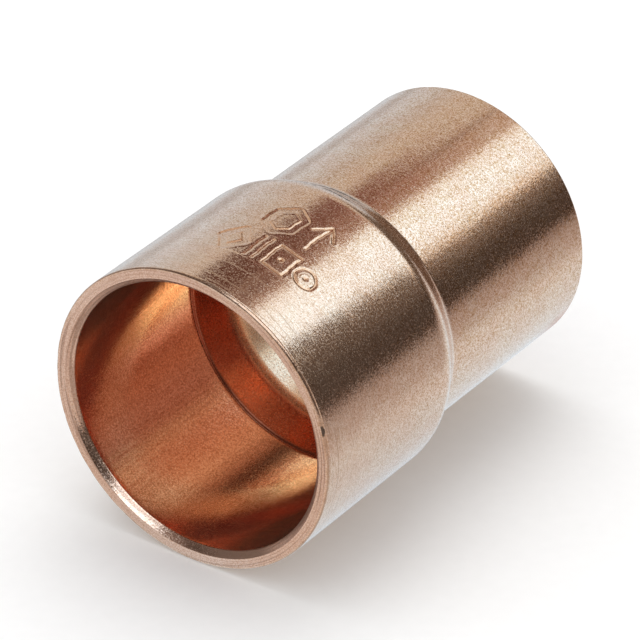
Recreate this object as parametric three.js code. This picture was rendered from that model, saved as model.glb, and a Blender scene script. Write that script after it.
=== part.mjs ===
// Concentric socket reducer for joining two copper-alloy tubes of different
// outside diameter, 22.2 mm (7/8 in) to 19.05 mm (3/4 in), by brazing.
//
// A wide cup, a necked-down shoulder and a narrow cup share one axis. The wall
// is a single closed profile, revolved, so the bore runs straight through.
//
// Frame: millimetres, +Z up, lying on its side. The flow axis is Y, the wide
// mouth faces -Y and the narrow mouth faces +Y. The origin is on the axis,
// half way along.

import * as THREE from 'three';

// ---- driving dimensions (mm) ------------------------------------------------
const SEGMENTS = 96;              // facets round the axis

const LENGTH = 36.6;              // mouth face to mouth face

const WIDE_OD = 25.0;             // outside of the wide cup
const WIDE_BORE = 22.3;           // takes a 22.2 mm tube
const WIDE_CUP_DEPTH = 15.4;      // mouth face to the tube stop
const WIDE_LEAD_IN = 0.46;        // 45 degree chamfer inside the wide mouth
const WIDE_STOP_LEDGE = 0.25;     // radial width of the ledge the tube end meets

// Broken outer edge of the wide mouth. One point between its ends rounds it,
// placed by fractions of the radial and axial sizes.
const WIDE_EDGE_BREAK_R = 0.17;
const WIDE_EDGE_BREAK_Y = 0.15;
const EDGE_POINT_FRACTION_R = 0.3;     // inward from the outside
const EDGE_POINT_FRACTION_Y = 0.35;    // in from the mouth face

const NARROW_OD = 22.24;          // outside of the narrow cup
const NARROW_BORE = 19.15;        // takes a 19.05 mm tube
const NARROW_CUP_DEPTH = 14.0;    // mouth face to the tube stop
const NARROW_LEAD_IN = 0.40;      // 45 degree chamfer inside the narrow mouth
const NARROW_EDGE_BREAK = 0.06;   // 45 degrees; the outer edge is almost sharp

const THROAT_DIA = 18.6;          // waist between the two tube stops
const THROAT_START = 18.0;        // where the unblended inner cone meets the throat
const THROAT_BLEND = 0.55;        // half length of the soft bend into the throat
const BEND_RISE_FRACTION = 0.25;  // rise at mid-bend, as a share of its full rise

// Outer shoulder: a rounded crest, a short cone and a tight concave foot on
// the narrow cylinder. Columns: radius, distance from the wide mouth.
const SHOULDER = [
  [12.500, 15.50],
  [12.460, 15.90],
  [12.350, 16.30],
  [12.165, 16.70],
  [11.940, 17.10],
  [11.690, 17.50],
  [11.450, 17.90],
  [11.285, 18.20],
  [11.175, 18.42],
  [11.120, 18.60],
];

// ---- wall profile -----------------------------------------------------------
// Each point is [radius, distance from the wide mouth]. The order runs up the
// outside from the wide mouth and back down the bore.
function wallProfile() {
  const wideR = WIDE_OD / 2;
  const wideBoreR = WIDE_BORE / 2;
  const narrowR = NARROW_OD / 2;
  const narrowBoreR = NARROW_BORE / 2;
  const throatR = THROAT_DIA / 2;

  const stopR = wideBoreR - WIDE_STOP_LEDGE;
  const coneSlope = (stopR - throatR) / (THROAT_START - WIDE_CUP_DEPTH);
  const bendRise = coneSlope * THROAT_BLEND;
  const narrowStop = LENGTH - NARROW_CUP_DEPTH;

  return [
    // wide mouth face and its broken outer edge
    [wideBoreR + WIDE_LEAD_IN, 0],
    [wideR - WIDE_EDGE_BREAK_R, 0],
    [
      wideR - EDGE_POINT_FRACTION_R * WIDE_EDGE_BREAK_R,
      EDGE_POINT_FRACTION_Y * WIDE_EDGE_BREAK_Y,
    ],
    [wideR, WIDE_EDGE_BREAK_Y],
    ...SHOULDER,
    // narrow cylinder and the narrow mouth face
    [narrowR, LENGTH - NARROW_EDGE_BREAK],
    [narrowR - NARROW_EDGE_BREAK, LENGTH],
    [narrowBoreR + NARROW_LEAD_IN, LENGTH],
    // narrow bore down to its tube stop
    [narrowBoreR, LENGTH - NARROW_LEAD_IN],
    [narrowBoreR, narrowStop],
    [throatR, narrowStop],
    // throat and the soft bend into the inner cone
    [throatR, THROAT_START + THROAT_BLEND],
    [throatR + BEND_RISE_FRACTION * bendRise, THROAT_START],
    [throatR + bendRise, THROAT_START - THROAT_BLEND],
    // wide tube stop and the wide bore back to the mouth
    [stopR, WIDE_CUP_DEPTH],
    [wideBoreR, WIDE_CUP_DEPTH],
    [wideBoreR, WIDE_LEAD_IN],
  ];
}

// ---- solid ------------------------------------------------------------------
function reducerGeometry() {
  const points = wallProfile().map(([r, y]) => new THREE.Vector2(r, y - LENGTH / 2));
  points.push(points[0].clone());           // the profile closes on itself
  return new THREE.LatheGeometry(points, SEGMENTS);
}

const copper = new THREE.MeshStandardMaterial({
  name: 'copper',
  color: new THREE.Color(0.72, 0.46, 0.34), // linear red, green, blue
  roughness: 0.34,
  metalness: 1.0,
});

const reducerBody = new THREE.Mesh(reducerGeometry(), copper);
reducerBody.name = 'reducer_body';

const reducer = new THREE.Group();
reducer.name = 'concentric_reducer';
reducer.add(reducerBody);

export default reducer;
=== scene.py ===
"""Looks for the concentric brazing reducer: a seamless copper-alloy body, a pale floor and soft studio light.

The axis runs along Y. The wide mouth faces -Y and the narrow mouth +Y, and the floor lies under
the body at the lowest Z. Angles round the axis start at +Z (up) and grow towards +X.
The body is worked out in mm, with distances along the axis taken from the wide mouth face.
"""

import math

import bpy
import numpy as np
from mathutils import Matrix, Vector


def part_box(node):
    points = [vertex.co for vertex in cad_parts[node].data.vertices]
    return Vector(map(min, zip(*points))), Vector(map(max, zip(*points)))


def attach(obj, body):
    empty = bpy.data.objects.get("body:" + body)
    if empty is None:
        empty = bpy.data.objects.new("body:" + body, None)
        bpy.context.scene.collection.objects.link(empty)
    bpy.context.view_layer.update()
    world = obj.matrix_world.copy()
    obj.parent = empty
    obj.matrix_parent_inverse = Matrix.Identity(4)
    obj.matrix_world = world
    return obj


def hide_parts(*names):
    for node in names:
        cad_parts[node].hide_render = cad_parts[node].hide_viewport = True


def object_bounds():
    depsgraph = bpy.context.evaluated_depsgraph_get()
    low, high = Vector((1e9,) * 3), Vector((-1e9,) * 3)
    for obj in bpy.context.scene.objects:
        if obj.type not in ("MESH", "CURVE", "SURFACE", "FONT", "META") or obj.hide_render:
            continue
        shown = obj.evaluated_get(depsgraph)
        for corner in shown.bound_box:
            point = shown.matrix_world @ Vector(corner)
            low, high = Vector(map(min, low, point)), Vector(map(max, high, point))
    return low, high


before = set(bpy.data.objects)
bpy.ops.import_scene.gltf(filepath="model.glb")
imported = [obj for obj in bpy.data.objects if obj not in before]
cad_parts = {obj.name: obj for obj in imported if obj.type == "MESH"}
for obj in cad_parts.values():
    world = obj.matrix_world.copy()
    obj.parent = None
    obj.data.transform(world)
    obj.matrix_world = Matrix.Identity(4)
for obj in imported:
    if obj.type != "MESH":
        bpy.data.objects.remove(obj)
cad_lo, cad_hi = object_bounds()
node_lo, node_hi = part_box("reducer_body")

# ---- sizes (mm) -----------------------------------------------------------------
MM = 0.001
LENGTH = (node_hi.y - node_lo.y) / MM       # mouth face to mouth face
Y0 = node_lo.y / MM                         # where the wide mouth face sits
BODY_R, NECK_R = 12.5, 11.12                # outsides of the wide cup and the narrow neck
FORMED_NECK_R = 11.116                      # the neck as it leaves the shoulder
FACE_OUT, FACE_IN = 12.32, 11.63            # flat of the wide mouth face
BORE_R, CUP_DEPTH = 11.15, 15.4             # wide tube socket
LEDGE_R = 10.92                             # inner edge of the wide tube stop
NECK_BORE, THROAT_R = 9.575, 9.30
NECK_STOP = LENGTH - 14.0                   # narrow tube stop
BEND_START, BEND = 18.65, 1.3               # bend from the throat into the inner cone, and its length
CONE_SLOPE = (LEDGE_R - THROAT_R) / (18.0 - CUP_DEPTH)

DEG = math.pi / 180
NOISE_SEED = 20261
NOISE_ROWS = 96                             # noise lattice rows along the axis before it repeats


# ---- smooth steps and seeded noise on the cylinder --------------------------------
def smooth(x, start, end):
    part = np.clip((x - start) / (end - start), 0, 1)
    return part * part * (3 - 2 * part)


def hump(x, rise, top, fall, end):
    """Goes 0 to 1 between rise and top, and back to 0 between fall and end."""
    return smooth(x, rise, top) * (1 - smooth(x, fall, end))


def ease(x):
    return x * x * x * (x * (x * 6 - 15) + 10)


def cyl_noise(theta, z, cells, step, seed):
    """Smooth noise in -1..1 that closes round the axis: cells round the turn, step along it in mm."""
    grid = np.random.default_rng(NOISE_SEED + seed).uniform(-1, 1, (NOISE_ROWS, cells))
    across = (theta / (2 * math.pi)) % 1.0 * cells
    along = (z / step) % NOISE_ROWS
    col, row = np.floor(across).astype(int), np.floor(along).astype(int)
    u, v = ease(across - col), ease(along - row)
    col, next_col = col % cells, (col + 1) % cells
    row, next_row = row % NOISE_ROWS, (row + 1) % NOISE_ROWS
    near = grid[row, col] * (1 - u) + grid[row, next_col] * u
    far = grid[next_row, col] * (1 - u) + grid[next_row, next_col] * u
    return near * (1 - v) + far * v


def waves(theta, z, *layers):
    """Sum of noise layers, each (height in mm, cells round, step along, seed)."""
    return sum(height * cyl_noise(theta, z, *layer) for height, *layer in layers)


# ---- wall profile -----------------------------------------------------------------
# Rows run round the closed wall section: wide face, outside, narrow face, inside.
# Each row: radius, distance from the wide mouth, zone, name of its ring of angles.
rows = []


def add(zone, points, ring="mid"):
    rows.extend((r, z, zone, ring) for r, z in points)


def line(start, end, steps, last=True):
    """Evenly spaced points; without last, the end point is left out."""
    parts = np.linspace(0, 1, steps + 1)[: steps + 1 if last else steps]
    return [(start[0] + (end[0] - start[0]) * s, start[1] + (end[1] - start[1]) * s) for s in parts]


def curve(x, knots, values):
    """Cubic Hermite curve through the knots."""
    tangent = np.gradient(values, knots)
    i = np.clip(np.searchsorted(knots, x) - 1, 0, len(knots) - 2)
    gap = knots[i + 1] - knots[i]
    s = (x - knots[i]) / gap
    return ((2 * s**3 - 3 * s**2 + 1) * values[i] + (s**3 - 2 * s**2 + s) * gap * tangent[i]
            + (-2 * s**3 + 3 * s**2) * values[i + 1] + (s**3 - s**2) * gap * tangent[i + 1])


# wide mouth face and its broken outer edge
add("face", line((FACE_IN, 0.0), (FACE_OUT, 0.0), 24, last=False), "fine")
add("edge", [(12.33, 0.000), (12.375, 0.006), (12.42, 0.022), (12.455, 0.050),
             (12.482, 0.090), (12.497, 0.140)], "fine")
# wide cylinder: a hair smaller at the shoulder than at the mouth, close rows under the marks
for z in np.concatenate([np.arange(0.20, 4.55, 0.135), np.arange(4.60, 13.25, 0.070),
                         np.arange(13.35, 15.30, 0.16)]):
    add("out", [(BODY_R - 0.055 * smooth(z, 0.5, 15.0), z)], "mark" if 4.58 < z < 13.25 else "mid")
# shoulder: distance from the wide mouth, radius
SHOULDER = np.array([
    [15.40, 12.445], [15.70, 12.430], [16.00, 12.385], [16.30, 12.300], [16.60, 12.180],
    [16.90, 12.035], [17.20, 11.860], [17.50, 11.670], [17.80, 11.480], [18.05, 11.330],
    [18.25, 11.225], [18.40, 11.160], [18.52, 11.128], [18.62, 11.118], [18.75, FORMED_NECK_R]])
shoulder_z = np.arange(15.40, 18.76, 0.09)
add("shoulder", zip(curve(shoulder_z, SHOULDER[:, 0], SHOULDER[:, 1]), shoulder_z))
# narrow cylinder
neck_z = np.concatenate([np.arange(18.9, 20.0, 0.2), np.arange(20.2, LENGTH - 0.25, 0.40),
                         [LENGTH - 0.15, LENGTH - 0.09]])
add("neck", [(FORMED_NECK_R + 0.004 * smooth(z, 19, 30), z) for z in neck_z])
# narrow mouth: nearly sharp outside, small lead-in inside
add("endface", [(11.113, LENGTH - 0.045), (11.090, LENGTH - 0.012), (11.055, LENGTH)])
add("endface", line((10.98, LENGTH), (9.99, LENGTH), 9))
add("chamfer", [(9.965, LENGTH - 0.008), (9.87, LENGTH - 0.10), (9.70, LENGTH - 0.27),
                (9.60, LENGTH - 0.372), (9.580, LENGTH - 0.40)])
# narrow tube socket, its stop, and the throat
add("bore2", line((NECK_BORE, LENGTH - 0.46), (NECK_BORE, NECK_STOP + 0.06), 16))
add("ledge", [(9.570, NECK_STOP + 0.012), (9.54, NECK_STOP), (9.38, NECK_STOP),
              (9.33, NECK_STOP - 0.015)])
add("throat", line((THROAT_R, NECK_STOP - 0.06), (THROAT_R, 18.75), 10))
# soft bend into the inner cone, then the cone up to the wide tube stop
for z in np.arange(18.6, 17.30, -0.10):
    part = (BEND_START - z) / BEND
    add("cone", [(THROAT_R + CONE_SLOPE * BEND / 2 * part * part, z)])
cone_z = rows[-1][1] - 0.12
cone_r = rows[-1][0] + CONE_SLOPE * 0.12
while cone_z > CUP_DEPTH + 0.10:
    add("cone", [(cone_r, cone_z)])
    cone_z -= 0.14
    cone_r += CONE_SLOPE * 0.14
stop_r = cone_r + CONE_SLOPE * (cone_z - CUP_DEPTH - 0.02)
add("ledge", [(stop_r - 0.02, CUP_DEPTH + 0.05), (stop_r + 0.01, CUP_DEPTH + 0.012),
              (stop_r + 0.04, CUP_DEPTH), (11.10, CUP_DEPTH), (11.138, CUP_DEPTH - 0.010)])
# wide tube socket and the chamfer at its mouth
add("bore", line((BORE_R, CUP_DEPTH - 0.05), (BORE_R, 0.60), 40))
add("chamfer", [(11.156, 0.50), (11.175, 0.462), (11.24, 0.392), (11.33, 0.301),
                (11.42, 0.211), (11.51, 0.121), (11.585, 0.045), (11.612, 0.012)], "fine")

# rings of angles: even steps, with a close patch where the stamped marks are (degrees)
MARK_FROM, MARK_TO = -13.0, 35.0
RINGS = {
    "fine": np.arange(0, 360, 1.0),
    "mid": np.arange(0, 360, 2.0),
    "mark": np.concatenate([np.arange(MARK_FROM, MARK_TO, 0.30),
                            np.arange(MARK_TO, 360 + MARK_FROM, 2.4)]),
}
RINGS = {name: np.sort(np.mod(angles, 360.0)) * DEG for name, angles in RINGS.items()}
# the box's extreme directions are on every ring
RINGS["mark"] = np.unique(np.concatenate([RINGS["mark"], np.array([90, 180, 270]) * DEG]))


# ---- stamped marks ----------------------------------------------------------------
def path(points, closed=False):
    """Strokes (x0, y0, x1, y1) joining the points."""
    ends = points[1:] + (points[:1] if closed else [])
    return [(*start, *end) for start, end in zip(points, ends)]


def oval(cx, cy, half_width, half_height, degrees):
    return [(cx + half_width * math.cos(math.radians(a)), cy + half_height * math.sin(math.radians(a)))
            for a in degrees]


# points: arc length round the body, distance from the wide mouth, in mm
BROAD = np.array(
    path([(-1.70, 6.60), (-0.60, 8.15), (0.50, 6.60), (-0.60, 5.05)], closed=True)     # diamond
    + path(oval(1.10, 10.80, 1.35, 1.80, range(30, 390, 60)), closed=True))             # hexagon
THIN = np.array(
    path([(1.30, 5.15), (1.30, 8.05)])                                                  # two bars
    + path([(1.95, 5.15), (1.95, 8.05)])
    + path([(2.80, 5.20), (4.75, 5.20), (4.75, 7.95), (2.80, 7.95)], closed=True)       # square
    + path(oval(6.10, 6.55, 0.92, 0.92, np.linspace(0, 360, 29)))                       # ring
    + path([(4.15, 9.15), (4.15, 12.60)])                                               # flow arrow
    + path([(3.20, 11.40), (4.15, 12.70), (5.10, 11.40)]))
DOTS = [(6.10, 6.55, 0.10), (3.775, 6.575, 0.12)]                                       # x, y, radius


def signed(theta):
    """The angle brought into -pi..pi."""
    return (theta + math.pi) % (2 * math.pi) - math.pi


def nearest(x, y, strokes):
    """Distance from each point to the nearest stroke, 9 mm at most."""
    best = np.full(x.shape, 9.0)
    for x0, y0, x1, y1 in strokes:
        run, rise = x1 - x0, y1 - y0
        u = np.clip(((x - x0) * run + (y - y0) * rise) / (run * run + rise * rise), 0, 1)
        best = np.minimum(best, np.hypot(x - x0 - u * run, y - y0 - u * rise))
    return best


def stamp(theta, z):
    """How far the stamped marks move the surface, in mm, and a 0..1 mask of the strokes."""
    arc = signed(theta) * BODY_R
    height, mask = np.zeros(arc.shape), np.zeros(arc.shape)
    near = (arc > -3.2) & (arc < 8.2) & (z > 4.4) & (z < 13.6)
    if not near.any():
        return height, mask
    x, y = arc[near], z[near]
    # the hand-struck marks waver a little
    x = x + 0.05 * np.sin(y * 1.9 + 0.4) + 0.02 * np.sin(y * 7.1)
    y = y + 0.05 * np.sin(x * 1.7 + 1.1)
    thin = nearest(x, y, THIN)
    for cx, cy, radius in DOTS:
        thin = np.minimum(thin, np.maximum(np.hypot(x - cx, y - cy) - radius, 0))
    broad = nearest(x, y, BROAD)
    # thin strokes are V grooves, broad ones have a flat floor; both throw up a small lip
    groove = -0.060 * np.exp(-((thin / 0.105) ** 2)) + 0.006 * np.exp(-(((thin - 0.28) / 0.09) ** 2))
    groove += -0.064 * (1 - smooth(broad, 0.21, 0.35))
    groove += 0.009 * np.exp(-(((broad - 0.46) / 0.10) ** 2))
    height[near] = groove
    mask[near] = np.clip(np.exp(-((thin / 0.13) ** 2)) + np.exp(-(((broad - 0.31) / 0.07) ** 2)), 0, 1)
    return height, mask


# ---- where each vertex goes ---------------------------------------------------------
def shape_row(index, theta):
    """Radius, distance, push along the normal (all mm) and stamp mask for one row."""
    r, z, zone, _ = rows[index]
    turn = signed(theta)
    dist = np.full(theta.shape, z)
    push = np.zeros(theta.shape)
    mask = 0.0
    if zone in ("out", "shoulder", "neck", "edge"):
        # slow waves left by forming and tumbling
        forming = waves(theta, dist, (0.0065, 11, 7.0, 1), (0.0040, 24, 3.1, 2), (0.0022, 52, 1.4, 3))
        push += forming * hump(dist, 0.05, 1.2, LENGTH - 1.0, LENGTH - 0.1)
    if zone == "out":
        height, mask = stamp(theta, dist)
        # the die leaves a faint step where its edge rested
        step = hump(turn, -0.20, -0.16, 0.56, 0.60) * hump(dist, 4.72, 4.86, 8.0, 13.4)
        push += height - 0.010 * step
    if zone == "shoulder":
        push += waves(theta, dist, (0.010, 30, 0.9, 4)) * hump(dist, 16.0, 17.2, 18.1, 18.5)
    if zone in ("face", "edge"):
        # the edge break is wider where the mouth has been knocked about, on its upper +X side
        worn = hump(turn, -0.25, 0.35, 1.25, 1.75)
        ragged = 0.5 + 0.5 * cyl_noise(theta, dist, 110, 1.0, 43)
        rim_r = FACE_OUT - worn * (0.10 + 0.07 * ragged) - waves(theta, dist, (0.02, 25, 1.0, 44))
    if zone == "face":
        # turning grooves, six across the face
        u = (r - FACE_IN) / (FACE_OUT - FACE_IN)
        r = FACE_IN + (rim_r - FACE_IN) * u
        groove = 0.0016 * math.sin(u * 2 * math.pi * 6.0)
        push += groove * (0.6 + 0.4 * cyl_noise(theta, dist, 9, 1.0, 20))
        push += waves(theta, dist, (0.0008, 37, 1.0, 21 + index))
    if zone == "edge":
        # small nicks, deepest halfway round the break
        depth = math.sin(math.pi * min(max((z + 0.02) / 0.17, 0), 1))
        u = (BODY_R - r) / (BODY_R - FACE_OUT)
        r = BODY_R - u * (BODY_R - rim_r)
        dist = dist * (1 + 0.7 * worn)
        nick = np.clip(cyl_noise(theta, dist, 150, 1.0, 40) - 0.45, 0, 1)
        nick += 0.8 * np.clip(cyl_noise(theta, dist, 67, 1.0, 41) - 0.55, 0, 1)
        push += (-0.045 * nick + waves(theta, dist, (0.007, 90, 1.0, 42))) * depth
    if zone == "chamfer" and z < 1:
        push += waves(theta, dist, (0.00175, 60, 1.0, 60))
    if zone in ("bore", "bore2"):
        push += waves(theta, dist, (0.0045, 14, 30.0, 70), (0.0022, 36, 12.0, 71))
    if zone == "cone":
        push += waves(theta, dist, (0.010, 16, 6.0, 80), (0.004, 40, 1.2, 81))
    return r, dist, push, mask


def paint_row(index, theta, mask):
    """The row's value for each attribute, 0..1."""
    _, z, zone, _ = rows[index]
    painted_grey = painted_pale = 0.0
    if zone in ("shoulder", "neck", "out"):
        # painted reflections on the shoulder: grey on its top, pale on its lower +X side
        turn = signed(theta)
        ragged = waves(theta, np.full(theta.shape, z * 4), (0.04, 90, 1.0, 90))
        band = hump(z, 16.3, 16.9, 18.5, 18.75)
        painted_grey = band * smooth(turn, -0.62, -0.22) * (1 - smooth(turn + ragged, 0.33, 0.37))
        painted_pale = band * smooth(turn + ragged, 1.03, 1.22) * (1 - smooth(turn, 1.9, 2.6))
    return {
        "a_bore": zone in ("bore", "bore2"),
        "a_cone": zone in ("cone", "ledge"),
        "a_face": zone in ("face", "endface", "chamfer"),
        "a_grey_reflection": painted_grey,
        "a_mark": mask,
        "a_edge": zone == "edge" and 0.02 < z < 0.12,
        "a_shoulder": hump(z, 15.6, 16.2, 18.45, 18.62) if zone == "shoulder" else 0.0,
        # the red of the cone gives way to lighter metal over the bend into the throat
        "a_throat": smooth(z, 17.1, 18.6) if zone == "cone" else zone == "throat",
        "a_ledge": zone == "ledge",
        "a_pale_reflection": painted_pale,
        "a_chamfer": zone == "chamfer",
    }


thetas = [RINGS[row[3]] for row in rows]
first = [0]                                 # index of each row's first vertex, then the total
for theta in thetas:
    first.append(first[-1] + len(theta))

# outward normal of each row's section; the rows' order makes it point out of the metal
row_r = np.array([row[0] for row in rows])
row_z = np.array([row[1] for row in rows])
tangent_r = np.roll(row_r, -1) - np.roll(row_r, 1)
tangent_z = np.roll(row_z, -1) - np.roll(row_z, 1)
tangent = np.hypot(tangent_r, tangent_z)
normal_r, normal_z = tangent_z / tangent, -tangent_r / tangent

points = np.zeros((first[-1], 3))
attributes = {}
for i, theta in enumerate(thetas):
    span = slice(first[i], first[i + 1])
    r, dist, push, mask = shape_row(i, theta)
    # never past the designed outline
    r = np.minimum(r + normal_r[i] * push, BODY_R)
    dist = np.clip(dist + normal_z[i] * push, 0.0, LENGTH)
    points[span] = np.stack([r * np.sin(theta), Y0 + dist, r * np.cos(theta)], 1)
    for name, value in paint_row(i, theta, mask).items():
        attributes.setdefault(name, np.zeros(first[-1], np.float32))[span] = value
points *= MM


# ---- faces --------------------------------------------------------------------------
def bridge(i, j):
    """Quads where rows i and j have the same angles, a strip of triangles where they don't."""
    ring_a, ring_b = thetas[i], thetas[j]
    size_a, size_b = len(ring_a), len(ring_b)
    if size_a == size_b and np.allclose(ring_a, ring_b):
        return [(first[i] + k, first[i] + (k + 1) % size_a, first[j] + (k + 1) % size_a, first[j] + k)
                for k in range(size_a)]
    strip = []
    a = b = 0
    while a < size_a or b < size_b:
        next_a = ring_a[(a + 1) % size_a] + (2 * math.pi if a + 1 >= size_a else 0)
        next_b = ring_b[(b + 1) % size_b] + (2 * math.pi if b + 1 >= size_b else 0)
        at_a, at_b = first[i] + a % size_a, first[j] + b % size_b
        if b >= size_b or (a < size_a and next_a <= next_b):
            strip.append((at_a, first[i] + (a + 1) % size_a, at_b))
            a += 1
        else:
            strip.append((at_a, first[j] + (b + 1) % size_b, at_b))
            b += 1
    return strip


def mesh_object(name, vertices, polygons):
    mesh = bpy.data.meshes.new(name)
    mesh.from_pydata(vertices, [], polygons)
    made = bpy.data.objects.new(name, mesh)
    bpy.context.scene.collection.objects.link(made)
    return made


body = mesh_object("reducer_wall", points.tolist(),
                   [face for i in range(len(rows)) for face in bridge(i, (i + 1) % len(rows))])
body.data.validate()
body.data.update()
body.data.shade_smooth()
for name, values in attributes.items():
    body.data.attributes.new(name, "FLOAT", "POINT").data.foreach_set("value", values)


# ---- node helpers ---------------------------------------------------------------------
class Signal:
    """A node's output. Arithmetic on it adds math nodes."""

    def __init__(self, net, socket):
        self.net, self.socket = net, socket

    def __add__(self, other):
        return self.net.math("ADD", self, other)

    def __radd__(self, other):
        return self.net.math("ADD", other, self)

    def __sub__(self, other):
        return self.net.math("SUBTRACT", self, other)

    def __rsub__(self, other):
        return self.net.math("SUBTRACT", other, self)

    def __mul__(self, other):
        return self.net.math("MULTIPLY", self, other)

    def __truediv__(self, other):
        return self.net.math("DIVIDE", self, other)

    def __abs__(self):
        return self.net.math("ABSOLUTE", self)


class Net:
    """A node tree and short ways to add to it."""

    def __init__(self, tree):
        self.tree = tree
        tree.nodes.clear()

    def node(self, kind, **props):
        made = self.tree.nodes.new("ShaderNode" + kind)
        for name, value in props.items():
            setattr(made, name, value)
        return made

    def put(self, socket, value):
        if isinstance(value, Signal):
            self.tree.links.new(value.socket, socket)
        else:
            socket.default_value = (*value, 1.0) if socket.type == "RGBA" else value

    def wire(self, node, output, inputs):
        """Fills inputs by name (_ for a space) or number and gives the output."""
        for key, value in inputs.items():
            self.put(node.inputs[key.replace("_", " ") if isinstance(key, str) else key], value)
        return Signal(self, node.outputs[output])

    def add(self, kind, output=0, **inputs):
        return self.wire(self.node(kind), output, inputs)

    def math(self, operation, *values, clamp=False):
        node = self.node("Math", operation=operation, use_clamp=clamp)
        return self.wire(node, 0, dict(enumerate(values)))

    def maximum(self, value, *others):
        for other in others:
            value = self.math("MAXIMUM", value, other)
        return value

    def vec(self, operation, *values, **inputs):
        node = self.node("VectorMath", operation=operation)
        output = "Value" if operation == "DOT_PRODUCT" else 0
        return self.wire(node, output, {**dict(enumerate(values)), **inputs})

    def split(self, vector):
        node = self.node("SeparateXYZ")
        self.put(node.inputs[0], vector)
        return [Signal(self, socket) for socket in node.outputs]

    def place_mm(self):
        return self.vec("SCALE", self.add("TexCoord", "Object"), Scale=1000.0)

    def ramp(self, value, start, end, low=0.0, high=1.0, kind="SMOOTHSTEP"):
        """Low where value is at start, high where it is at end, held level beyond."""
        node = self.node("MapRange", interpolation_type=kind, clamp=True)
        return self.wire(node, "Result", dict(
            Value=value, From_Min=start, From_Max=end, To_Min=low, To_Max=high))

    def mix(self, factor, base, other, blend="MIX"):
        node = self.node("Mix", data_type="RGBA", blend_type=blend)
        return self.wire(node, 2, {0: factor, 6: base, 7: other})

    def mixf(self, factor, base, other):
        return self.wire(self.node("Mix", data_type="FLOAT"), 0, {0: factor, 2: base, 3: other})

    def tint(self, colour, by):
        return self.mix(1.0, colour, by, "MULTIPLY")

    def stain(self, colour, amount, by):
        """The colour multiplied by another where amount is 1."""
        return self.mix(amount, colour, self.tint(colour, by))

    def noise(self, vector, scale=1.0, detail=2.0, rough=0.5, dist=0.0):
        return self.add("TexNoise", Vector=vector, Scale=scale, Detail=detail, Roughness=rough,
                        Distortion=dist)

    def attr(self, name):
        node = self.node("Attribute", attribute_name=name, attribute_type="GEOMETRY")
        return Signal(self, node.outputs["Fac"])

    def mix_shader(self, factor, base, other):
        return self.wire(self.node("MixShader"), 0, {0: factor, 1: base, 2: other})

    def if_mirrored(self, plain, mirrored):
        """One shader for most rays, another for what the metal reflects."""
        return self.mix_shader(self.add("LightPath", "Is Glossy Ray"), plain, mirrored)

    def finish(self, surface, kind="OutputMaterial"):
        self.put(self.node(kind).inputs["Surface"], surface)


def new_material(name, owner):
    material = bpy.data.materials.new(name)
    material.use_nodes = True
    owner.data.materials.append(material)
    return material, Net(material.node_tree)


WHITE = (1.0, 1.0, 1.0)

# ---- copper: places and zones -----------------------------------------------------------
_, net = new_material("copper_alloy", body)
place = net.place_mm()
px, py, pz = net.split(place)
axial = py - Y0                                                  # distance from the wide mouth
radius = net.math("SQRT", px * px + pz * pz)
angle = net.math("ARCTAN2", px, pz)
radial = net.vec("NORMALIZE", net.add("CombineXYZ", X=px, Y=0.0, Z=pz))
around_dir = net.vec("NORMALIZE", net.add("CombineXYZ", X=pz, Y=0.0, Z=px * -1.0))   # the way the angle grows

on_bore, on_cone, on_face, on_grey_reflection, on_mark, on_edge, on_throat, on_pale_reflection = (
    net.attr("a_" + zone)
    for zone in ("bore", "cone", "face", "grey_reflection", "mark", "edge", "throat", "pale_reflection"))
inside = net.math("ADD", on_bore + on_cone, on_throat, clamp=True)
outside = net.math("SUBTRACT", 1.0 - inside, on_face, clamp=True)
on_neck = net.ramp(axial, 18.6, 19.2)


def moved(x, y, z):
    """The place shifted, so a texture doesn't repeat another."""
    return net.vec("ADD", place, (x, y, z))


def stretched(x, y, z, vector=place):
    return net.vec("MULTIPLY", vector, (x, y, z))


def by_zone(mix, outer, *others):
    """Lays the face, bore, cone and throat values over the outer one."""
    for zone, value in zip((on_face, on_bore, on_cone, on_throat), others):
        outer = mix(zone, outer, value)
    return outer


# ---- copper: textures -------------------------------------------------------------------
grain = net.noise(place, scale=8.0, rough=0.65)
fine = net.noise(place, scale=14.0, detail=1.0)
sand = net.noise(moved(7.3, 1.1, 4.9), scale=8.5, rough=0.8)
sand_in = net.noise(moved(17.0, 6.0, 1.5), scale=7.0, rough=0.8)
tilt_a = net.noise(moved(31.0, 5.0, 2.0), scale=9.5, detail=1.0, rough=0.7)
tilt_b = net.noise(moved(3.0, 47.0, 12.0), scale=9.5, detail=1.0, rough=0.7)
cloud = net.noise(place, scale=0.45, detail=3.0, rough=0.55)
blot = net.noise(place, scale=1.6, detail=3.0, rough=0.6)
streak = net.noise(stretched(1.1, 8.0, 1.1), detail=1.0, rough=0.6)     # short strokes round the body
axial_lines = net.noise(stretched(7.0, 0.10, 7.0), rough=0.6)
ring_lines = net.noise(stretched(0.16, 8.0, 0.16), rough=0.65)


def turned(spread, pitch, offset, **noise):
    """Turned lines on a mouth face: noise drawn out round the axis."""
    rings = net.add("CombineXYZ", X=radius * pitch, Y=offset, Z=0.0)
    return net.noise(net.vec("ADD", net.vec("SCALE", radial, Scale=spread), rings), **noise)


face_lines = turned(spread=1.3, pitch=11.0, offset=0.0, rough=0.6)
face_cuts = turned(spread=1.6, pitch=6.0, offset=3.7, detail=1.0)
pits = net.add("TexVoronoi", "Distance", Vector=place, Scale=2.1)
peel = net.noise(moved(2.0, 9.0, 17.0), scale=2.9, detail=1.0, rough=0.6, dist=0.8)
crinkle = net.noise(moved(41.0, 3.0, 6.0), scale=3.1, detail=3.0, rough=0.70, dist=1.6)
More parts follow.
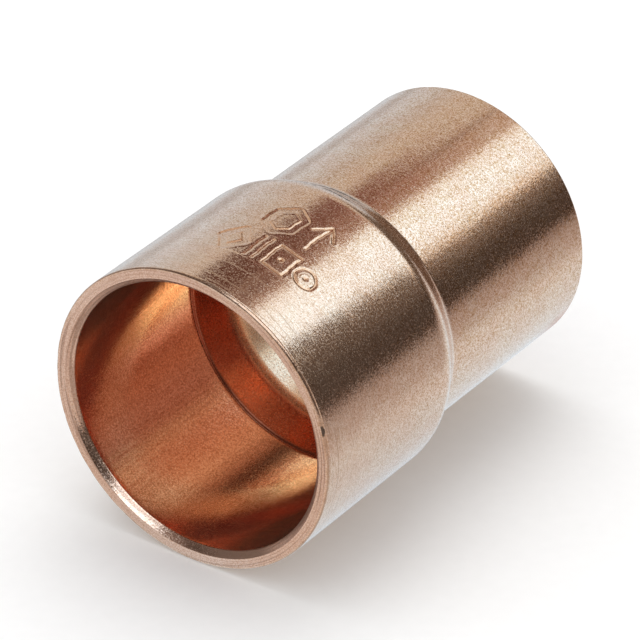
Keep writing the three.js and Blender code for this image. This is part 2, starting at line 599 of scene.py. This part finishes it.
# fine short strokes round the body
brush = net.ramp(net.noise(stretched(1.5, 12.0, 1.5, moved(6.0, 2.0, 19.0)), rough=0.7), 0.52, 0.64)
rag = net.noise(moved(5.0, 5.0, 5.0), scale=2.6, rough=0.6) - 0.5
roll = net.noise(stretched(0.25, 0.0, 0.25, moved(9.0, 0.0, 3.0)), detail=1.0) - 0.5
speck = net.ramp(sand, 0.38, 0.57)
painted_sheen = net.ramp(axial, 10.5, 3.0)            # painted sheen: lighter, less speckled copper near the wide mouth, where handling has smoothed the grain
near_mouth = net.ramp(axial, 5.2, 2.2)
scratch = net.ramp(ring_lines, 0.56, 0.66) * net.ramp(near_mouth, 0.0, 1.0, 0.18, 1.0, "LINEAR")


# ---- copper: scratches and tool marks -----------------------------------------------------
def turned_line(at, width, seed, cut):
    """A scratch part of the way round, at a distance from the mouth; a higher cut shortens it."""
    wander = net.noise(stretched(0.22, 0.0, 0.22, moved(seed, 0.0, 0.0)), detail=1.0)
    off = abs(axial - ((at - 0.45) + wander * 0.9))
    reach = net.noise(stretched(0.16, 0.0, 0.16, moved(0.0, 0.0, seed)), detail=1.0)
    return net.ramp(off, width, width * 0.35) * net.ramp(reach, cut, cut + 0.05)


lines = net.maximum(
    turned_line(at=1.30, width=0.075, seed=5.0, cut=0.42),
    turned_line(at=2.15, width=0.055, seed=21.0, cut=0.50),
    turned_line(at=3.30, width=0.060, seed=47.0, cut=0.50),
    turned_line(at=0.62, width=0.050, seed=66.0, cut=0.47)) * outside


def tool_mark(at, width, start, end, seed):
    """A dark ragged streak the forming die left round part of the shoulder; start and end in radians."""
    off = abs(axial - (at + roll * 0.5 + rag * 0.45))
    span = net.ramp(angle, start - 0.06, start + 0.06) * net.ramp(angle, end + 0.05, end - 0.05)
    gaps = net.ramp(net.noise(moved(seed, 0.0, seed), scale=1.1, rough=0.6), 0.36, 0.46)
    return net.ramp(off, width, width * 0.4) * span * gaps


tool_marks = net.maximum(
    tool_mark(at=16.75, width=0.20, start=-0.75, end=0.25, seed=11.0),
    tool_mark(at=18.20, width=0.24, start=-0.36, end=0.22, seed=37.0),
    tool_mark(at=17.45, width=0.12, start=-0.20, end=0.30, seed=58.0)) * outside
# the painted grey reflection on top of the shoulder, broken into patches; the metal there is also rougher
grey_reflection_gaps = net.noise(stretched(1.2, 3.0, 1.2), detail=3.0, rough=0.7)
grey_reflection_mix = on_grey_reflection * 0.85 * net.ramp(grey_reflection_gaps, 0.30, 0.46)

# ---- copper: colour -----------------------------------------------------------------------
# outside: cloudy base, grain, brushing, crinkles and a painted sheen near the wide mouth
outer = net.mix(net.ramp(cloud, 0.36, 0.64), (1.0, 0.788, 0.655), (0.980, 0.735, 0.600))
outer = net.tint(outer, net.mix(
    painted_sheen * 0.42, net.mix(speck, (0.61, 0.46, 0.31), WHITE), (0.96, 0.93, 0.89)))
outer = net.stain(outer, brush * net.mixf(on_neck, net.mixf(painted_sheen, 0.42, 0.62), 0.18),
                  (0.66, 0.57, 0.49))
outer = net.stain(outer, net.ramp(crinkle, 0.51, 0.57) * net.mixf(on_neck, 0.34, 0.85),
                  (0.80, 0.70, 0.54))
for amount, colour in (
        (scratch * 0.30, (0.66, 0.43, 0.28)),
        (lines * 0.60, (0.56, 0.36, 0.24)),
        (on_mark * 0.80, (0.84, 0.48, 0.28)),
        (net.ramp(pits, 0.10, 0.05) * 0.5, (0.40, 0.25, 0.17)),
        # painted grey reflection on top of the shoulder
        (grey_reflection_mix * 0.80, (0.82, 0.71, 0.64)),
        (tool_marks * 0.88, (0.13, 0.115, 0.10)),
        # painted pale reflection on the shoulder's lower +X side
        (on_pale_reflection * 0.50, (0.94, 0.80, 0.71))):
    outer = net.mix(amount, outer, colour)

# bore: drawn lines along it, clouds, grain and a darker patch low on the -X side
bore = net.mix(net.ramp(axial_lines, 0.35, 0.65), (0.960, 0.590, 0.400), (0.890, 0.510, 0.330))
bore = net.mix(net.ramp(cloud, 0.45, 0.7) * 0.45, bore, (0.80, 0.42, 0.26))
bore = net.tint(bore, net.mix(net.ramp(sand_in, 0.38, 0.60), (0.64, 0.50, 0.40), WHITE))
round_at = angle + (axial_lines - 0.5) * 0.25
bore_dark_patch = net.ramp(round_at, -2.42, -2.20) * net.ramp(round_at, -1.58, -1.80)
bore = net.stain(bore, bore_dark_patch * net.ramp(axial, 16.0, 15.0), (0.85, 0.68, 0.72))

# cone: red, darker on the -X side; painted shadow makes the ledges darkest
cone = net.mix(net.ramp(blot, 0.35, 0.65), (0.80, 0.36, 0.21), (0.74, 0.30, 0.17))
cone = net.tint(cone, net.mix(net.ramp(sand, 0.36, 0.60), (0.78, 0.62, 0.52), WHITE))
cone_dark = net.ramp(angle, -2.32, -2.18) * net.ramp(angle, -0.9, -1.3)
cone = net.stain(cone, cone_dark, (0.72, 0.60, 0.66))
# painted shadow in the steps of both tube stops, weaker where the cone is already darker
cone = net.mix(net.attr("a_ledge") * net.mixf(cone_dark, 1.0, 0.35), cone, (0.34, 0.12, 0.07))
throat = net.mix(speck, (0.92, 0.70, 0.51), (1.0, 0.89, 0.71))

# mouth faces: turned lines and cuts, with painted shade darkening a stretch of chamfer at the bottom
face = net.mix(net.ramp(face_lines, 0.44, 0.56), (0.96, 0.73, 0.605), (0.90, 0.645, 0.52))
face = net.mix(net.ramp(face_lines, 0.58, 0.63) * 0.55, face, (0.42, 0.26, 0.19))
face = net.mix(net.ramp(face_cuts, 0.57, 0.63) * 0.60, face, (0.46, 0.30, 0.23))
face = net.tint(face, net.mix(speck, (0.78, 0.68, 0.60), WHITE))
chamfer_shade = net.ramp(net.vec("DOT_PRODUCT", radial, (0.29, 0.0, -0.957)), 0.90, 0.975)
face = net.mix(net.attr("a_chamfer") * chamfer_shade, face, (0.52, 0.36, 0.28))

colour = by_zone(net.mix, outer, face, bore, cone, throat)
colour = net.mix(on_edge * 0.55, colour, (0.42, 0.26, 0.18))

# one nick in the outer edge of the wide mouth, on the +X side, drawn as near-black painted shade
nick_off = abs(angle + rag * 0.02 - 1.300)
nick_long = axial + nick_off * 4.5 + (grain - 0.5) * 0.22
nick = net.ramp(nick_off, 0.040, 0.026) * (
    net.ramp(nick_long, 0.30, 0.19) * net.ramp(radius, 12.26, 12.34))
colour = net.mix(nick * 0.90, colour, (0.075, 0.06, 0.05))

# ---- copper: roughness --------------------------------------------------------------------
rough_outer = net.ramp(blot, 0.3, 0.7, low=0.060, high=0.090) + fine * 0.03
rough_outer = rough_outer + grey_reflection_mix * 0.28 + on_pale_reflection * 0.11 + tool_marks * 0.25
rough_bore = net.ramp(axial_lines, 0.3, 0.7, low=0.085, high=0.130)
rough_face = net.ramp(face_lines, 0.3, 0.7, low=0.22, high=0.34)
rough_cone, rough_throat = 0.17, 0.23
rough = by_zone(net.mixf, rough_outer, rough_face, rough_bore, rough_cone, rough_throat)
# the chamfer is smoother low on the -X side
lower_left = net.vec("DOT_PRODUCT", radial, (-0.588, 0.0, -0.809))
rough = net.mixf(net.attr("a_chamfer"), rough, net.ramp(lower_left, 0.55, 0.85, low=0.38, high=0.13))
# matte specks in the polish
matte = net.noise(moved(13.0, 71.0, 8.0), scale=7.5, rough=0.75)
dull = net.ramp(matte, net.mixf(inside, 0.50, 0.50), 0.63)
rough = rough + dull * net.mixf(on_cone, net.mixf(on_bore, 0.24, 0.13), 0.16)

# ---- copper: relief finer than the mesh, in micrometres -----------------------------------
relief = grain * 3.4 + fine * 1.6 - scratch * 0.8 - lines * 5.0 - tool_marks * 7.0
relief = relief + peel * net.mixf(on_neck, 2.5, 7.0) - net.ramp(pits, 0.14, 0.05) * 6.0
relief_bore = ring_lines * 0.8 + grain * 2.4 + axial_lines * 1.4
relief_cone = grain * 4.0 + fine * 1.6
relief_face = fine * 2.0 + face_lines * 6.0
relief = by_zone(net.mixf, relief, relief_face, relief_bore)
relief = net.mixf(net.math("ADD", on_cone, on_throat, clamp=True), relief, relief_cone)

# each short tumbling stroke and grain leans its own way
glint = net.ramp(tilt_b, 0.56, 0.72) - net.ramp(tilt_b, 0.44, 0.28)
dent = net.noise(moved(23.0, 14.0, 61.0), scale=12.0, detail=1.0, rough=0.7)
dent = net.ramp(dent, 0.60, 0.66) - net.ramp(dent, 0.40, 0.34)
lean_round = (streak - 0.5) * 0.075 + (tilt_a - 0.5) * 0.075 + glint * 0.045 + dent * 0.05
lean_round = lean_round * net.mixf(inside, 1.0, 0.35) * net.mixf(on_neck, 1.0, 0.75)
lean_along = (tilt_b - 0.5) * 0.12 * net.mixf(inside, 1.0, 0.5)
lean = net.vec("ADD", net.vec("SCALE", around_dir, Scale=lean_round),
               net.vec("SCALE", (0.0, 1.0, 0.0), Scale=lean_along))
leaning = net.vec("NORMALIZE", net.vec("ADD", net.add("NewGeometry", "Normal"), lean))
bump = net.add("Bump", Strength=1.0, Distance=1e-6, Height=relief, Normal=leaning)

# a thin dull film inside the cup scatters a little light
metallic = net.mixf(net.math("ADD", on_bore, on_cone, clamp=True), 1.0, 0.94)
net.finish(net.add("BsdfPrincipled", Metallic=metallic, Base_Color=colour, Roughness=rough,
                   Normal=bump))

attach(body, "root")
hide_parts("reducer_body")


# ---- floor --------------------------------------------------------------------------------
def fade(net, value, stops):
    """A colour that changes in straight steps with value: (value, colour) pairs."""
    colour = stops[0][1]
    for (start, _), (end, next_colour) in zip(stops, stops[1:]):
        colour = net.mix(net.ramp(value, start, end, kind="LINEAR"), colour, next_colour)
    return colour


# what the metal sees of the floor: (metres out from the axis, colour)
FLOOR_RIGHT = [
    (0.010, (0.71, 0.81, 0.90)), (0.024, (0.67, 0.69, 0.71)), (0.040, (0.52, 0.470, 0.455)),
    (0.120, (0.31, 0.250, 0.230)), (0.170, (0.17, 0.13, 0.115)), (0.215, (0.06, 0.043, 0.034))]
FLOOR_LEFT = [
    (0.010, (0.66, 0.73, 0.79)), (0.024, (0.60, 0.60, 0.61)), (0.033, (0.57, 0.59, 0.61)),
    (0.054, (0.72, 0.83, 0.92)), (0.080, (0.64, 0.70, 0.76)), (0.140, (0.52, 0.55, 0.58))]


def floor_material(owner):
    _, net = new_material("pale_floor", owner)
    place = net.add("TexCoord", "Object")
    speck = net.noise(place, scale=900.0)
    pale = net.add("BsdfDiffuse", Color=net.mix(speck, (0.90, 0.90, 0.90), (0.93, 0.93, 0.93)))
    x, y, _ = net.split(place)
    right = fade(net, x, FLOOR_RIGHT)
    left = fade(net, x * -1.0, FLOOR_LEFT)
    # a little brighter close in, towards the narrow end
    lifted = net.ramp(y, -0.004, 0.022) * net.ramp(x, 0.036, 0.022)
    right = net.tint(right, net.mix(lifted, WHITE, (1.17, 1.19, 1.19)))
    seen = net.mix(net.ramp(x, -0.002, 0.002), left, right)
    # the part seen through the passage
    beyond = net.ramp(y, 0.021, 0.026) * net.ramp(abs(x), 0.0095, 0.0065)
    through = net.mix(net.ramp(x, -0.004, 0.005), (0.56, 0.47, 0.52), (0.70, 0.62, 0.62))
    seen = net.mix(beyond, seen, through)
    # the part in front of the wide mouth
    front = net.ramp(y, -0.016, -0.024)
    before = net.mix(net.ramp(x, -0.012, -0.030), (0.68, 0.605, 0.555), (0.74, 0.71, 0.70))
    net.finish(net.if_mirrored(pale, net.add("Emission", Color=net.mix(front, seen, before))))


FLOOR_HALF = 2.5                            # metres
floor = mesh_object("floor", [(x * FLOOR_HALF, y * FLOOR_HALF, cad_lo.z)
                              for x, y in ((-1, -1), (1, -1), (1, 1), (-1, 1))], [(0, 1, 2, 3)])
floor_material(floor)

# ---- soft studio: what the metal reflects ---------------------------------------------------
# Tables of (degrees round the axis from up towards +X, colour)
# tent walls: cool and bright on the -X side, warmer overhead
TENT = [
    (-180, (0.62, 0.65, 0.68)), (-110, (0.72, 0.84, 0.96)), (-84, (0.70, 0.80, 0.90)),
    (-60, (0.62, 0.645, 0.66)), (-42, (0.68, 0.65, 0.60)), (-16, (0.66, 0.62, 0.56)),
    (-5, (0.60, 0.51, 0.45)), (7, (0.63, 0.55, 0.49)), (60, (0.62, 0.64, 0.64)),
    (120, (0.60, 0.60, 0.60)), (180, (0.62, 0.65, 0.68))]
# the front of the tent is dim
TENT_FRONT = [
    (-180, (0.30, 0.27, 0.25)), (-90, (0.36, 0.32, 0.30)), (-30, (0.24, 0.19, 0.17)),
    (0, (0.24, 0.20, 0.18)), (90, (0.18, 0.14, 0.12)), (180, (0.30, 0.27, 0.25))]
SOFTBOX = [
    (6, (0.98, 0.90, 0.80)), (12, (1.12, 1.32, 1.42)), (30, (1.22, 1.52, 1.76)),
    (43, (1.16, 1.40, 1.56)), (51, (1.02, 1.02, 0.94)), (55, (0.92, 0.78, 0.64))]
BLACK_FLAG = [
    (50, (0.190, 0.155, 0.130)), (62, (0.115, 0.092, 0.078)), (74, (0.082, 0.066, 0.057)),
    (92, (0.070, 0.056, 0.049))]


def studio_world():
    world = bpy.data.worlds.new("studio")
    bpy.context.scene.world = world
    world.use_nodes = True
    net = Net(world.node_tree)
    dx, dy, dz = net.split(net.add("TexCoord", "Generated"))
    turn = net.math("ARCTAN2", dx, dz) * (180 / math.pi)

    def window(value, start, end, soft):
        return (net.ramp(value, start - soft, start + soft)
                * net.ramp(value, end - soft, end + soft, low=1.0, high=0.0))

    def card(base, colour, turns, soft, along, along_soft):
        """A patch of colour between two angles round the axis and two heights along Y."""
        mask = window(turn, *turns, soft) * window(dy, *along, along_soft)
        return net.mix(mask, base, colour)

    def around(stops):
        node = net.node("ValToRGB")
        net.put(node.inputs["Fac"], turn * (1 / 360) + 0.5)
        elements = node.color_ramp.elements
        while len(elements) > 1:
            elements.remove(elements[-1])
        for i, (degrees, colour) in enumerate(stops):
            position = (degrees + 180) / 360
            stop = elements[0] if i == 0 else elements.new(position)
            stop.position = position
            stop.color = (*colour, 1)
        return Signal(net, node.outputs[0])

    room = net.mix(net.ramp(dy, 0.30, 0.05), around(TENT), around(TENT_FRONT))
    # long softbox over the part, its brighter front end, and a black flag low on the +X side
    room = card(room, around(SOFTBOX), (8, 54.5), 1.3, (-0.50, 0.855), 0.03)
    room = card(room, (1.9, 1.9, 1.9), (-2, 46), 6.0, (-0.44, -0.20), 0.05)
    room = card(room, around(BLACK_FLAG), (54.8, 93), 1.0, (0.10, 0.97), 0.06)
    # dark beyond the narrow end
    pole = net.ramp(dy, 0.865, 0.895) * window(turn, -45, 115, 12.0)
    room = net.mix(net.maximum(pole, net.ramp(dy, 0.955, 0.975)), room, (0.14, 0.105, 0.080))
    # front softbox over the camera, with dark to its +X and -X sides
    room = card(room, (1.75, 2.00, 2.20), (-8, 37), 4.5, (-0.88, -0.45), 0.10)
    room = card(room, (0.10, 0.085, 0.075), (45, 94), 4.0, (-0.95, -0.5), 0.10)
    room = card(room, (0.10, 0.08, 0.07), (-75, -30), 8.0, (-0.95, -0.5), 0.10)
    plain = net.add("Background", Color=(0.97, 0.97, 0.97))
    net.finish(net.if_mirrored(plain, net.add("Background", Color=room)), "OutputWorld")


studio_world()

# ---- overhead card: dark and warm, seen only in the metal -------------------------------------
CARD_H = 70.0                                            # height over the axis, mm
VIEW_TURN, VIEW_ACROSS, VIEW_ALONG = 43.2, 0.714, 0.70   # line of sight: degrees round, parts across and along
# Outlines are given where their mirror image lies on the body, as runs on one body radius:
# (radius, [(degrees from the top towards +X, distance from the wide mouth)])
CARD_EDGE = [
    (BODY_R, [(1.4, -14.0), (1.5, 1.0), (1.7, 5.0), (3.2, 8.0), (5.4, 12.0), (5.1, 13.8),
              (6.4, 16.0)]),
    (NECK_R, [(8.2, 18.9), (4.4, 21.3), (5.9, 23.4), (6.9, 25.6), (7.9, 27.6), (9.4, 29.4),
              (12.2, 30.6), (13.9, 31.3), (14.3, 44.0), (16.0, 44.0), (16.6, 31.3),
              (24.6, 31.0), (25.0, 18.9)]),
    (BODY_R, [(25.4, 15.0), (25.4, 2.0), (25.4, -14.0)])]
FLAG_EDGE = [
    (BODY_R, [(42.0, -14.0), (42.2, 3.0), (43.0, 7.0), (44.6, 11.0), (45.6, 14.0), (46.6, 17.0)]),
    (NECK_R, [(47.6, 18.8), (48.9, 20.0), (49.0, 44.0), (57.5, 44.0), (57.5, 19.0)]),
    (BODY_R, [(51.5, 17.5), (51.5, -14.0)])]


def card_point(degrees, along, radius):
    """Follows the line of sight off the body up to the card's height."""
    theta = math.radians(degrees)
    turn = math.radians(2 * degrees - VIEW_TURN)
    x, z = radius * math.sin(theta), radius * math.cos(theta)
    reach = (CARD_H - z) / (VIEW_ACROSS * math.cos(turn))
    return ((x + VIEW_ACROSS * math.sin(turn) * reach) * MM,
            (Y0 + along + VIEW_ALONG * reach) * MM, CARD_H * MM)


def only_in_mirror(thing):
    for ray in ("camera", "diffuse", "transmission", "volume_scatter", "shadow"):
        setattr(thing, "visible_" + ray, False)


def card_material(owner):
    material, net = new_material("dark_card", owner)
    material.cycles.emission_sampling = "NONE"
    x, y, _ = net.split(net.place_mm())
    reach = net.math("SQRT", x * x + (CARD_H - 11.5) ** 2)
    seen_at = y - Y0 - reach * 0.98                      # where on the body it shows, mm
    # colour along the body
    dark = net.mix(net.ramp(seen_at, 5.0, 12.0), (0.115, 0.050, 0.035), (0.225, 0.122, 0.102))
    dark = net.mix(net.ramp(seen_at, 16.0, 21.0), dark, (0.265, 0.140, 0.118))
    dark = net.mix(net.ramp(seen_at, 26.0, 30.8), dark, (0.46, 0.33, 0.28))
    dark = net.mix(net.ramp(seen_at, 31.2, 32.4), dark, (0.24, 0.165, 0.135))
    # paler towards +X, with a light slit near the wide mouth
    paler = net.mix(net.ramp(seen_at, 5.0, 21.0), (0.190, 0.115, 0.095), (0.40, 0.25, 0.21))
    dark = net.mix(net.ramp(x, -9.0, -6.5), dark, paler)
    slit = net.ramp(x, -8.0, -6.9) * net.ramp(x, -4.3, -5.4) * net.ramp(seen_at, 6.5, 5.0)
    dark = net.mix(slit, dark, (0.46, 0.35, 0.29))
    dark = net.mix(net.ramp(x, 1.0, 14.0), dark, (0.50, 0.37, 0.31))
    # the separate flag on the +X side, and its part over the neck
    flag = net.mix(net.ramp(x, 60.0, 78.0), (0.19, 0.155, 0.13), (0.14, 0.113, 0.096))
    dark = net.mix(net.ramp(x, 40.0, 42.0), dark, flag)
    neck_flag = net.mix(net.ramp(x, 90.0, 175.0), (0.42, 0.355, 0.30), (0.20, 0.165, 0.145))
    dark = net.mix(net.ramp(x, 41.0, 42.0) * net.ramp(seen_at, 18.2, 19.2), dark, neck_flag)
    net.finish(net.add("Emission", Color=dark))


outlines = [[card_point(*point, radius) for radius, run in edge for point in run]
            for edge in (CARD_EDGE, FLAG_EDGE)]
card_size, flag_size = map(len, outlines)
card = mesh_object("overhead_card", outlines[0] + outlines[1],
                   [tuple(range(card_size)), tuple(range(card_size, card_size + flag_size))])
only_in_mirror(card)
card_material(card)


# ---- bounce card just past the narrow mouth -----------------------------------------------------
def bounce_material(owner):
    """Bright only to rays that skim the passage wall, clear to the rest."""
    material, net = new_material("bounce", owner)
    material.cycles.emission_sampling = "NONE"
    x, _, z = net.split(net.place_mm())
    ix, iy, iz = net.split(net.add("NewGeometry", "Incoming"))
    across = net.math("SQRT", ix * ix + iz * iz)
    skim = abs(x * iz - z * ix) / across                 # how far the ray passes from the axis, mm
    left = net.ramp(x, -0.8, -2.6)
    right = net.ramp(x, 3.0, 5.0) * net.ramp(z, 0.4, -1.6)
    # neither too steep nor straight along the passage
    slant = net.ramp(iy, -0.55, -0.65) * net.ramp(iy, -0.88, -0.80)
    where = net.math("ADD", left, right, clamp=True) * net.ramp(skim, 7.30, 7.62) * slant
    down = net.ramp(iz / across, 0.40, 0.80) * net.ramp(skim, 7.4, 7.0) * slant
    power = net.ramp(skim, 7.5, 9.1, low=1.38, high=4.9, kind="LINEAR")
    tint = net.mix(net.ramp(x, -1.0, 2.0), (0.66, 1.36, 1.60), (0.88, 1.50, 1.46))
    glow = net.add("Emission", Color=net.mix(down, tint, (1.0, 1.0, 0.95)),
                   Strength=net.mixf(down, power, 1.30))
    where = net.math("ADD", where, down * 0.26, clamp=True)
    net.finish(net.mix_shader(where, net.add("BsdfTransparent"), glow))


BOUNCE_R, BOUNCE_GAP, BOUNCE_SIDES = 9.9, 0.12, 48       # mm, mm past the mouth, corners
bounce_angles = [k * math.pi / (BOUNCE_SIDES / 2) for k in range(BOUNCE_SIDES)]
bounce = mesh_object("bounce_card", [
    (BOUNCE_R * MM * math.sin(a), Y0 * MM + (LENGTH + BOUNCE_GAP) * MM, BOUNCE_R * MM * math.cos(a))
    for a in bounce_angles], [tuple(range(BOUNCE_SIDES))])
only_in_mirror(bounce)
bounce_material(bounce)

# ---- a broad overhead light for the floor's soft shadow; the metal doesn't mirror it -----------
lamp_data = bpy.data.lights.new("overhead", "AREA")
lamp_data.shape = "RECTANGLE"
lamp_data.size = lamp_data.size_y = 0.5
lamp_data.energy = 1.2
lamp = bpy.data.objects.new("overhead", lamp_data)
lamp.location = (-0.10, 0.15, 0.60)
lamp.rotation_euler = (-lamp.location).to_track_quat("-Z", "Y").to_euler()
lamp.visible_glossy = False
bpy.context.scene.collection.objects.link(lamp)

# ---- camera: a long lens, above and to the +X side of the wide mouth ----------------------------
right = Vector((0.8199, 0.5726, 0.0)).normalized()
forward = Vector((-0.4889, 0.7000, -0.5206)).normalized()
up = right.cross(forward)
# from the camera to the mouth's centre, in radii of the wide cup
TO_RIGHT, TO_DOWN, TO_FORWARD = -0.76988, 0.59591, 35.34495
cup_radius = (node_hi.x - node_lo.x) / 2
mouth = Vector((0.0, node_lo.y, 0.0))
cam_data = bpy.data.cameras.new("camera")
cam_data.sensor_width = 36.0
cam_data.lens = 334.0
cam_data.clip_start, cam_data.clip_end = 0.01, 20.0
cam = bpy.data.objects.new("camera", cam_data)
pose = Matrix((right, up, -forward)).transposed().to_4x4()
pose.translation = mouth - cup_radius * (TO_RIGHT * right + TO_DOWN * (-up) + TO_FORWARD * forward)
cam.matrix_world = pose
scene = bpy.context.scene
scene.collection.objects.link(cam)
scene.camera = cam
scene.view_settings.view_transform = "Standard"
scene.view_settings.look = "None"
